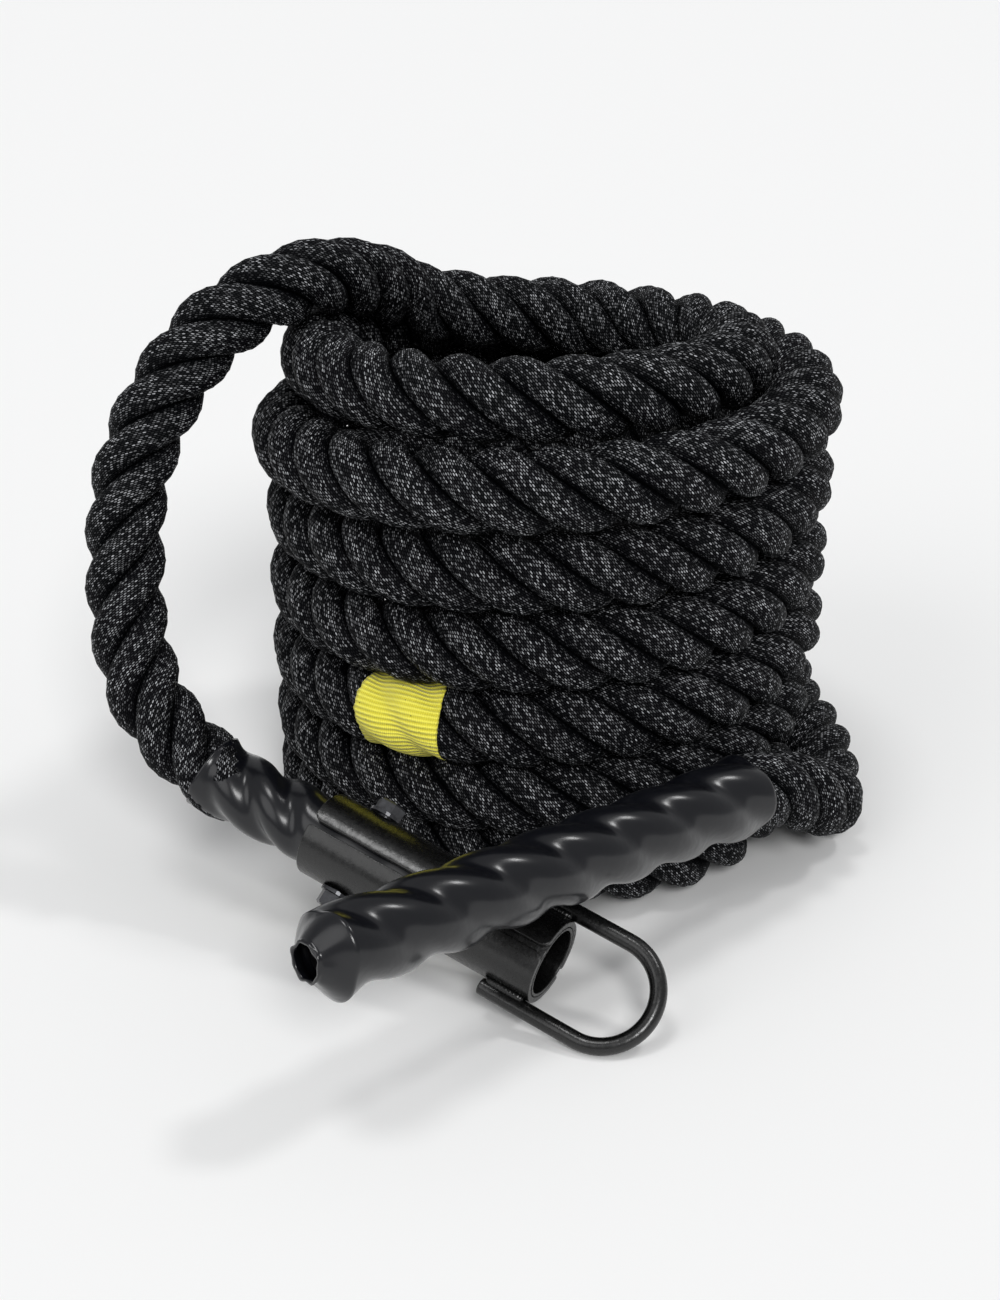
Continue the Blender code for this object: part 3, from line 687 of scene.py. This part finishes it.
def end_steps(corner):
    """Distances from a shell's end, closer together where its edge and its corner turn fastest."""
    edge = [SHELL_EDGE * (1 - math.cos(a)) for a in quarter_turn(EDGE_STEPS)]
    bend = [corner * (1 - math.cos(a)) for a in quarter_turn(SHELL_CORNER_STEPS)]
    return sorted(set(edge + bend))


def add_shell(name, side, mouth_corner, rear_corner, material, node):
    """A half shell of the clamp, with its own corners on the seam that shows."""
    ends = [(-t, t, mouth_corner) for t in end_steps(mouth_corner)]
    ends += [(t - CLAMP_LENGTH, t, rear_corner) for t in reversed(end_steps(rear_corner))]
    rows = []
    for x, t, corner in ends:
        low = seam_angle(t, SHELL_CORNER)
        rows.append(shell_section(x, low, seam_angle(t, corner), side, edge_inset(t)))
    add_piece(name, capped_mesh(name, rows), material, "coated_steel", node)


def capped_mesh(name, rows):
    """A solid of rings with a flat cap on each end, each ring an outside and an inside of equal length."""
    count = len(rows[0])
    faces = band_faces(rows)
    sides = len(faces)
    for start in (0, count * (len(rows) - 1)):
        for k in range(count // 2 - 1):
            end = start + count - 1 - k
            faces.append((start + k, start + k + 1, end - 1, end))
    mesh = mesh_of(name, rows, faces)
    mesh.shade_smooth()
    for face in mesh.polygons[sides:]:
        face.use_smooth = False
    shape = bmesh.new()
    shape.from_mesh(mesh)
    bmesh.ops.recalc_face_normals(shape, faces=shape.faces)
    shape.to_mesh(mesh)
    shape.free()
    return mesh


def clamp_ring(x, radius, sides):
    turn = 2 * math.pi / sides
    around = [(radius * math.cos(turn * k), radius * math.sin(turn * k)) for k in range(sides)]
    return [CLAMP_FRAME @ Vector((x, y, z)) for y, z in around]


def add_mouth_ring(material):
    """The closed ring inside the mouth, its front edges rounded."""
    outer = CLAMP_RADIUS - CLAMP_WALL - PART_GAP
    inner = outer - MOUTH_RING_WALL
    corner = [(math.sin(a), math.cos(a)) for a in quarter_turn(EDGE_STEPS)]
    profile = [(-MOUTH_RING_LENGTH, outer)]
    profile += [(-SHELL_EDGE * (1 - sin), outer - SHELL_EDGE * (1 - cos)) for sin, cos in corner]
    profile += [(-SHELL_EDGE * (1 - cos), inner + SHELL_EDGE * (1 - sin)) for sin, cos in corner]
    profile += [(-MOUTH_RING_LENGTH, inner), (-MOUTH_RING_LENGTH, outer)]
    rings = [clamp_ring(x, radius, MOUTH_RING_SIDES) for x, radius in profile]
    mesh = tube_mesh("mouth_ring", rings, 2 * math.pi * outer)
    add_piece("clamp_mouth_ring", mesh, material, "coated_steel", "mouth_ring")


def rod_stations():
    """The rod's centre line in the clamp's frame: place and direction, leg, bend, leg."""
    reach = CLAMP_RADIUS + PART_GAP + ROD_RADIUS
    stations = [(Vector((-LEG_ON_SHELL, reach, 0)), Vector((1, 0, 0)))]
    for i in range(ROD_BEND_POINTS + 1):
        angle = math.pi / 2 - math.pi * i / ROD_BEND_POINTS
        outward = Vector((math.cos(angle), math.sin(angle), 0))
        place = Vector((LEG_PAST_MOUTH, 0, 0)) + outward * reach
        stations.append((place, Vector((outward.y, -outward.x, 0))))
    stations.append((Vector((-LEG_ON_SHELL, -reach, 0)), Vector((-1, 0, 0))))
    return stations


def rod_ring(place, direction, radius):
    across = direction.cross(Vector((0, 0, 1)))
    points = []
    for k in range(ROD_SIDES):
        a = 2 * math.pi * k / ROD_SIDES
        raised = Vector((0, 0, radius * math.sin(a)))
        points.append(CLAMP_FRAME @ (place + across * radius * math.cos(a) + raised))
    return points


def add_rod(material):
    """The pull loop: a bent round bar, its cut ends slightly rounded."""
    stations = rod_stations()
    start, start_way = stations[0]
    end, end_way = stations[-1]
    corner = []
    for a in quarter_turn(EDGE_STEPS):
        corner.append((ROD_END_ROUND * (1 - math.cos(a)), ROD_RADIUS - ROD_END_ROUND * (1 - math.sin(a))))
    rings = [rod_ring(start, start_way, 0)]
    rings += [rod_ring(start + start_way * back, start_way, radius) for back, radius in corner]
    rings += [rod_ring(place, way, ROD_RADIUS) for place, way in stations[1:-1]]
    rings += [rod_ring(end - end_way * back, end_way, radius) for back, radius in reversed(corner)]
    rings.append(rod_ring(end, end_way, 0))
    mesh = tube_mesh("pull_rod", rings, 2 * math.pi * ROD_RADIUS)
    add_piece("pull_rod", mesh, material, "coated_steel", "pull_loop")


def add_weld(name, side, face, material, node):
    """A weld bead in the crook between the rod and a shell, with the ripples of its run."""
    count = round(WELD_LENGTH / WELD_STEP)
    rings = []
    for i in range(count + 1):
        gone = WELD_LENGTH * i / count
        ripple = abs(math.sin(math.pi * gone / WELD_RIPPLE))
        ends = math.sqrt(max(0.0, 1 - (2 * i / count - 1) ** WELD_END_POWER))
        radius = WELD_RADIUS * ends + WELD_BUMP * (ripple - 1) * ends
        ring = []
        for k in range(WELD_SIDES):
            a = 2 * math.pi * k / WELD_SIDES
            y = side * (WELD_ACROSS + radius * math.cos(a))
            z = face * (WELD_RAISED + radius * math.sin(a))
            ring.append(CLAMP_FRAME @ Vector((-WELD_START - gone, y, z)))
        rings.append(ring[:: side * face])
    mesh = tube_mesh(name, rings, 2 * math.pi * WELD_RADIUS)
    add_piece(name, mesh, material, "coated_steel", node)


def add_clamp_steel(material):
    add_shell("upper_half", 1, SHELL_WIDE_CORNER, SHELL_WIDE_CORNER, material, "upper_shell")
    add_shell("lower_half", -1, SHELL_WIDE_CORNER, SHELL_CORNER, material, "lower_shell")
    add_mouth_ring(material)
    add_rod(material)
    for side_name, side in (("upper", 1), ("lower", -1)):
        for face_name, face in (("outer", 1), ("inner", -1)):
            node = "weld_" + side_name + "_" + face_name
            add_weld(node + "_bead", side, face, material, node)


# Materials: colours are linear red, green, blue and alpha; lengths are metres, noise scales are per metre

RIB = 0.0016
STITCHES_ROUND = 54
STITCH_WIDTH_SHARE = 0.36
STITCH_LENGTH_SHARE = 0.44
STITCH_CORE = 0.35
YARN_DARK = (0.0010, 0.0012, 0.0018, 1)
# Colour of the painted glints on the stitches; the glint values below set how strong and how rare they are
PAINTED_GLINT_COLOUR = (0.50, 0.51, 0.53, 1)
GLINT_RARITY = 3.0
GLINT_GAIN = 1.60
GLINT_LEAST = 0.015
PATCH_SCALE = 260.0
# Painted shade towards the grooves: the glints fade out between these values of the cosine round the strand
CROWN_FROM = -0.05
CROWN_FULL = 0.75
RIB_RELIEF = 0.3
YARN_BUMP = (0.6, 0.0005)
YARN_ROUGHNESS = 0.55
YARN_SPECULAR = 0.035

FILM_COLOUR = (0.0030, 0.0033, 0.0050, 1)
FILM_ROUGHNESS = (0.28, 0.36)
FILM_SPECULAR = 0.10
FILM_COAT = 0.8
FILM_COAT_ROUGHNESS = 0.215
DENT_SCALE = 90.0
DENT_BUMP = (0.5, 0.0012)
GRAIN_SCALE = 1400.0
GRAIN_BUMP = (0.25, 0.0001)

CLOTH_RIB = 0.0024
CLOTH_PICK = 0.0011
CLOTH_PICK_SHARE = 0.35
CLOTH_WEAVE_RANGE = (-1.3, 0.9)
# The cloth's yellow in the weave's hollows, darkened by painted shade, and on the weave's tops
CLOTH_DARK = (0.70, 0.61, 0.022, 1)
CLOTH_BRIGHT = (1.0, 0.93, 0.105, 1)
CLOTH_BUMP = (0.7, 0.0005)
CLOTH_ROUGHNESS = 0.8
CLOTH_SHEEN = 0.25

COAT_COLOUR = (0.0022, 0.0022, 0.0022, 1)
COAT_ROUGHNESS = (0.23, 0.31)
COAT_SPECULAR = 0.6
PEEL_SCALE = 420.0
PEEL_BUMP = (0.26, 0.0004)

ZINC_DARK = (0.012, 0.012, 0.013, 1)
ZINC_WORN = (0.075, 0.077, 0.084, 1)
ZINC_METALLIC = 0.5
ZINC_ROUGHNESS = 0.28
WEAR_SCALE = 500.0
WEAR_DETAIL = 4.0

TAPE_COLOUR = (0.012, 0.012, 0.013, 1)
TAPE_ROUGHNESS = 0.5

NOISE_DETAIL = 2.0
NOISE_RANGE = (0.3, 0.7)


class Nodes:
    """A material's node tree, with short calls for the nodes used here."""

    def __init__(self, name):
        self.material = bpy.data.materials.new(name)
        self.material.use_nodes = True
        self.tree = self.material.node_tree
        self.shader = self.tree.nodes["Principled BSDF"]

    def add(self, kind, inputs=None, **settings):
        node = self.tree.nodes.new(kind)
        for key, value in settings.items():
            setattr(node, key, value)
        for key, value in (inputs or {}).items():
            if isinstance(value, bpy.types.NodeSocket):
                self.tree.links.new(value, node.inputs[key])
            else:
                node.inputs[key].default_value = value
        return node

    def math(self, operation, a, b=0.0):
        return self.add("ShaderNodeMath", {0: a, 1: b}, operation=operation).outputs[0]

    def wave(self, value, length):
        return self.math("SINE", self.math("MULTIPLY", value, 2 * math.pi / length))

    def place(self):
        return self.add("ShaderNodeTexCoord").outputs["Object"]

    def surface(self):
        """The mesh's own metres: a vector, then how far along and how far round."""
        uv = self.add("ShaderNodeUVMap", uv_map="UVMap").outputs[0]
        parts = self.add("ShaderNodeSeparateXYZ", {0: uv})
        return uv, parts.outputs[0], parts.outputs[1]

    def noise(self, vector, scale, detail=NOISE_DETAIL):
        return self.add("ShaderNodeTexNoise", {"Vector": vector, "Scale": scale, "Detail": detail}).outputs[0]

    def ranged(self, value, source, target):
        inputs = {0: value, 1: source[0], 2: source[1], 3: target[0], 4: target[1]}
        return self.add("ShaderNodeMapRange", inputs).outputs[0]

    def mixed(self, share, first, second):
        return self.add("ShaderNodeMix", {0: share, 6: first, 7: second}, data_type="RGBA").outputs[2]

    def bump(self, height, size, **under):
        """A bump of some strength and depth, over another where one is given as Normal."""
        inputs = {"Strength": size[0], "Distance": size[1], "Height": height, **under}
        return self.add("ShaderNodeBump", inputs).outputs[0]

    def link(self, value, socket):
        self.tree.links.new(value, self.shader.inputs[socket])

    def set(self, **values):
        for key, value in values.items():
            self.shader.inputs[key.replace("_", " ")].default_value = value


def off_middle(nodes, value, share):
    """How far a value lies from the middle of its cell, over the share of the cell that is filled."""
    return nodes.math("DIVIDE", nodes.math("SUBTRACT", nodes.math("FRACT", value), 0.5), share)


def rope_material():
    """Black woven sleeve: staggered rows of yarn floats, the odd one with a painted glint, dark between them;
    painted shade fades the glints out towards the grooves between strands.
    """
    nodes = Nodes("rope_fibre")
    uv, along, round_strand = nodes.surface()
    column = nodes.math("DIVIDE", round_strand, STRAND_AROUND / STITCHES_ROUND)
    column_number = nodes.math("FLOOR", column)
    stagger = nodes.math("MULTIPLY", nodes.math("MODULO", column_number, 2.0), 0.5)
    row = nodes.math("ADD", nodes.math("DIVIDE", along, RIB), stagger)
    lengthwise = off_middle(nodes, row, STITCH_LENGTH_SHARE)
    crosswise = off_middle(nodes, column, STITCH_WIDTH_SHARE)
    away = nodes.math(
        "ADD",
        nodes.math("MULTIPLY", lengthwise, lengthwise),
        nodes.math("MULTIPLY", crosswise, crosswise),
    )
    inside = nodes.ranged(away, (STITCH_CORE, 1.0), (1.0, 0.0))
    cell = nodes.add("ShaderNodeCombineXYZ", {0: nodes.math("FLOOR", row), 1: column_number})
    chance = nodes.add("ShaderNodeTexWhiteNoise", {"Vector": cell.outputs[0]}).outputs[0]
    patch = nodes.math("MULTIPLY", nodes.noise(uv, PATCH_SCALE), GLINT_GAIN)
    lively = nodes.math("MULTIPLY", nodes.math("POWER", chance, GLINT_RARITY), patch)
    # Painted shade: the glints fade from each strand's crown to nothing in the grooves between the strands
    facing = nodes.math("COSINE", nodes.math("MULTIPLY", round_strand, 2 * math.pi / STRAND_AROUND))
    groove_shade_mask = nodes.ranged(facing, (CROWN_FROM, CROWN_FULL), (0.0, 1.0))
    bright = nodes.math("MULTIPLY", nodes.math("ADD", lively, GLINT_LEAST), groove_shade_mask)
    glint = nodes.math("MULTIPLY", inside, bright)
    relief = nodes.math("ADD", inside, nodes.math("MULTIPLY", nodes.wave(along, RIB), RIB_RELIEF))
    # The stitches' bright colour is a painted glint; the rope's own colour is the dark one
    nodes.link(nodes.mixed(glint, YARN_DARK, PAINTED_GLINT_COLOUR), "Base Color")
    nodes.link(nodes.bump(relief, YARN_BUMP), "Normal")
    nodes.set(Roughness=YARN_ROUGHNESS, Specular_IOR_Level=YARN_SPECULAR)
    return nodes.material


def sleeve_material():
    """Shrink film: black, semi-gloss, with soft dents and a fine grain."""
    nodes = Nodes("shrink_sleeve")
    place = nodes.place()
    dents = nodes.noise(place, DENT_SCALE)
    grain = nodes.noise(place, GRAIN_SCALE)
    nodes.link(nodes.ranged(dents, NOISE_RANGE, FILM_ROUGHNESS), "Roughness")
    soft = nodes.bump(dents, DENT_BUMP)
    nodes.link(nodes.bump(grain, GRAIN_BUMP, Normal=soft), "Normal")
    nodes.set(Base_Color=FILM_COLOUR, Specular_IOR_Level=FILM_SPECULAR)
    nodes.set(Coat_Weight=FILM_COAT, Coat_Roughness=FILM_COAT_ROUGHNESS)
    return nodes.material


def cloth_material():
    """Marker tape: yellow woven cloth with ribs that run along the rope, darker in the hollows of its weave
    by painted shade.
    """
    nodes = Nodes("marker_cloth")
    _, along, round_rope = nodes.surface()
    picks = nodes.math("MULTIPLY", nodes.wave(along, CLOTH_PICK), CLOTH_PICK_SHARE)
    weave = nodes.math("ADD", nodes.wave(round_rope, CLOTH_RIB), picks)
    # Painted shade: the colour goes darker where the weave's bumps are low
    painted_shade_mix = nodes.ranged(weave, CLOTH_WEAVE_RANGE, (0.0, 1.0))
    nodes.link(nodes.mixed(painted_shade_mix, CLOTH_DARK, CLOTH_BRIGHT), "Base Color")
    nodes.link(nodes.bump(weave, CLOTH_BUMP), "Normal")
    nodes.set(Roughness=CLOTH_ROUGHNESS, Sheen_Weight=CLOTH_SHEEN)
    return nodes.material


def coated_material():
    """Powder-coated steel: deep black, glossy, with a faint orange peel."""
    nodes = Nodes("coated_steel")
    peel = nodes.noise(nodes.place(), PEEL_SCALE)
    nodes.link(nodes.ranged(peel, NOISE_RANGE, COAT_ROUGHNESS), "Roughness")
    nodes.link(nodes.bump(peel, PEEL_BUMP), "Normal")
    nodes.set(Base_Color=COAT_COLOUR, Specular_IOR_Level=COAT_SPECULAR)
    return nodes.material


def fastener_material():
    """Black-zinc bolt, washers and nut: satin, slightly worn to grey."""
    nodes = Nodes("zinc_black_steel")
    wear = nodes.noise(nodes.place(), WEAR_SCALE, WEAR_DETAIL)
    nodes.link(nodes.mixed(wear, ZINC_DARK, ZINC_WORN), "Base Color")
    nodes.set(Metallic=ZINC_METALLIC, Roughness=ZINC_ROUGHNESS)
    return nodes.material


def tape_material():
    nodes = Nodes("end_tape")
    nodes.set(Base_Color=TAPE_COLOUR, Roughness=TAPE_ROUGHNESS)
    return nodes.material


def dress(material, names):
    """Give the parts that keep their own shape a better material."""
    for name in names:
        for holder in bpy.data.objects[name].material_slots:
            holder.material = material


# Studio: each lamp has a name, a bearing (0 from the camera's side, positive to its right) and a
# height in degrees, a strength, and a spread in degrees

FLOOR_SIZE = 40
FLOOR_COLOUR = (0.90, 0.90, 0.895, 1)
FLOOR_ROUGHNESS = 0.7
FLOOR_SPECULAR = 0.2
SKY_COLOUR = (0.97, 0.98, 1.0, 1)
SKY_STRENGTH = 0.385
LAMPS = (
    ("top", -60, 77, 0.5, 14),
    ("main", 11, 38, 1.5, 18),
    ("left", -50, 35, 0.52, 40),
    ("streak", 101, 59, 0.5, 9),
)


def add_floor():
    bpy.ops.mesh.primitive_plane_add(size=FLOOR_SIZE)
    floor = bpy.context.object
    floor.name = "floor"
    nodes = Nodes("floor")
    nodes.set(Base_Color=FLOOR_COLOUR, Roughness=FLOOR_ROUGHNESS, Specular_IOR_Level=FLOOR_SPECULAR)
    floor.data.materials.append(nodes.material)


def add_sun(name, bearing, height, strength, spread):
    data = bpy.data.lights.new(name, "SUN")
    data.energy = strength
    data.angle = spread
    light = bpy.data.objects.new(name, data)
    across = math.cos(height) * math.sin(bearing)
    towards = Vector((across, -math.cos(height) * math.cos(bearing), math.sin(height)))
    light.rotation_euler = towards.to_track_quat("Z", "Y").to_euler()
    bpy.context.scene.collection.objects.link(light)


def add_lamps():
    for name, bearing, height, strength, spread in LAMPS:
        add_sun(name, math.radians(bearing), math.radians(height), strength, math.radians(spread))


def add_world():
    world = bpy.data.worlds.new("studio")
    world.use_nodes = True
    background = world.node_tree.nodes["Background"]
    background.inputs["Color"].default_value = SKY_COLOUR
    background.inputs["Strength"].default_value = SKY_STRENGTH
    bpy.context.scene.world = world


def add_camera():
    data = bpy.data.cameras.new("camera")
    data.sensor_fit = "VERTICAL"
    data.sensor_height = SENSOR_HEIGHT
    data.lens = CAMERA_LENS
    camera = bpy.data.objects.new("camera", data)
    camera.location = from_coil(CAMERA_OFFSET)
    camera.rotation_euler = (math.pi / 2 - CAMERA_PITCH, 0, 0)
    bpy.context.scene.collection.objects.link(camera)
    bpy.context.scene.camera = camera


def main():
    bpy.context.scene.view_settings.view_transform = "Standard"
    add_camera()
    add_world()
    add_floor()
    add_lamps()
    add_rope(rope_material())
    sleeve = sleeve_material()
    add_handle_sleeve(sleeve)
    add_clamp_sleeve(sleeve)
    tape = tape_material()
    handle_tip = ROPE_LENGTH - HANDLE_CONE - SLEEVE_WALL - TAPE_WALL
    add_end_tape("handle_tape", tape, handle_tip - TAPE_LENGTH, handle_tip, True, "handle_end_tape")
    clamp_tip = SHRINK_INSET + ROPE_END_INSET
    add_end_tape("clamp_tape", tape, clamp_tip, clamp_tip + TAPE_LENGTH, False, "clamp_end_tape")
    add_band(cloth_material())
    add_clamp_steel(coated_material())
    dress(fastener_material(), ("clamp_bolt", "head_washer", "nut_washer", "clamp_nut"))


main()
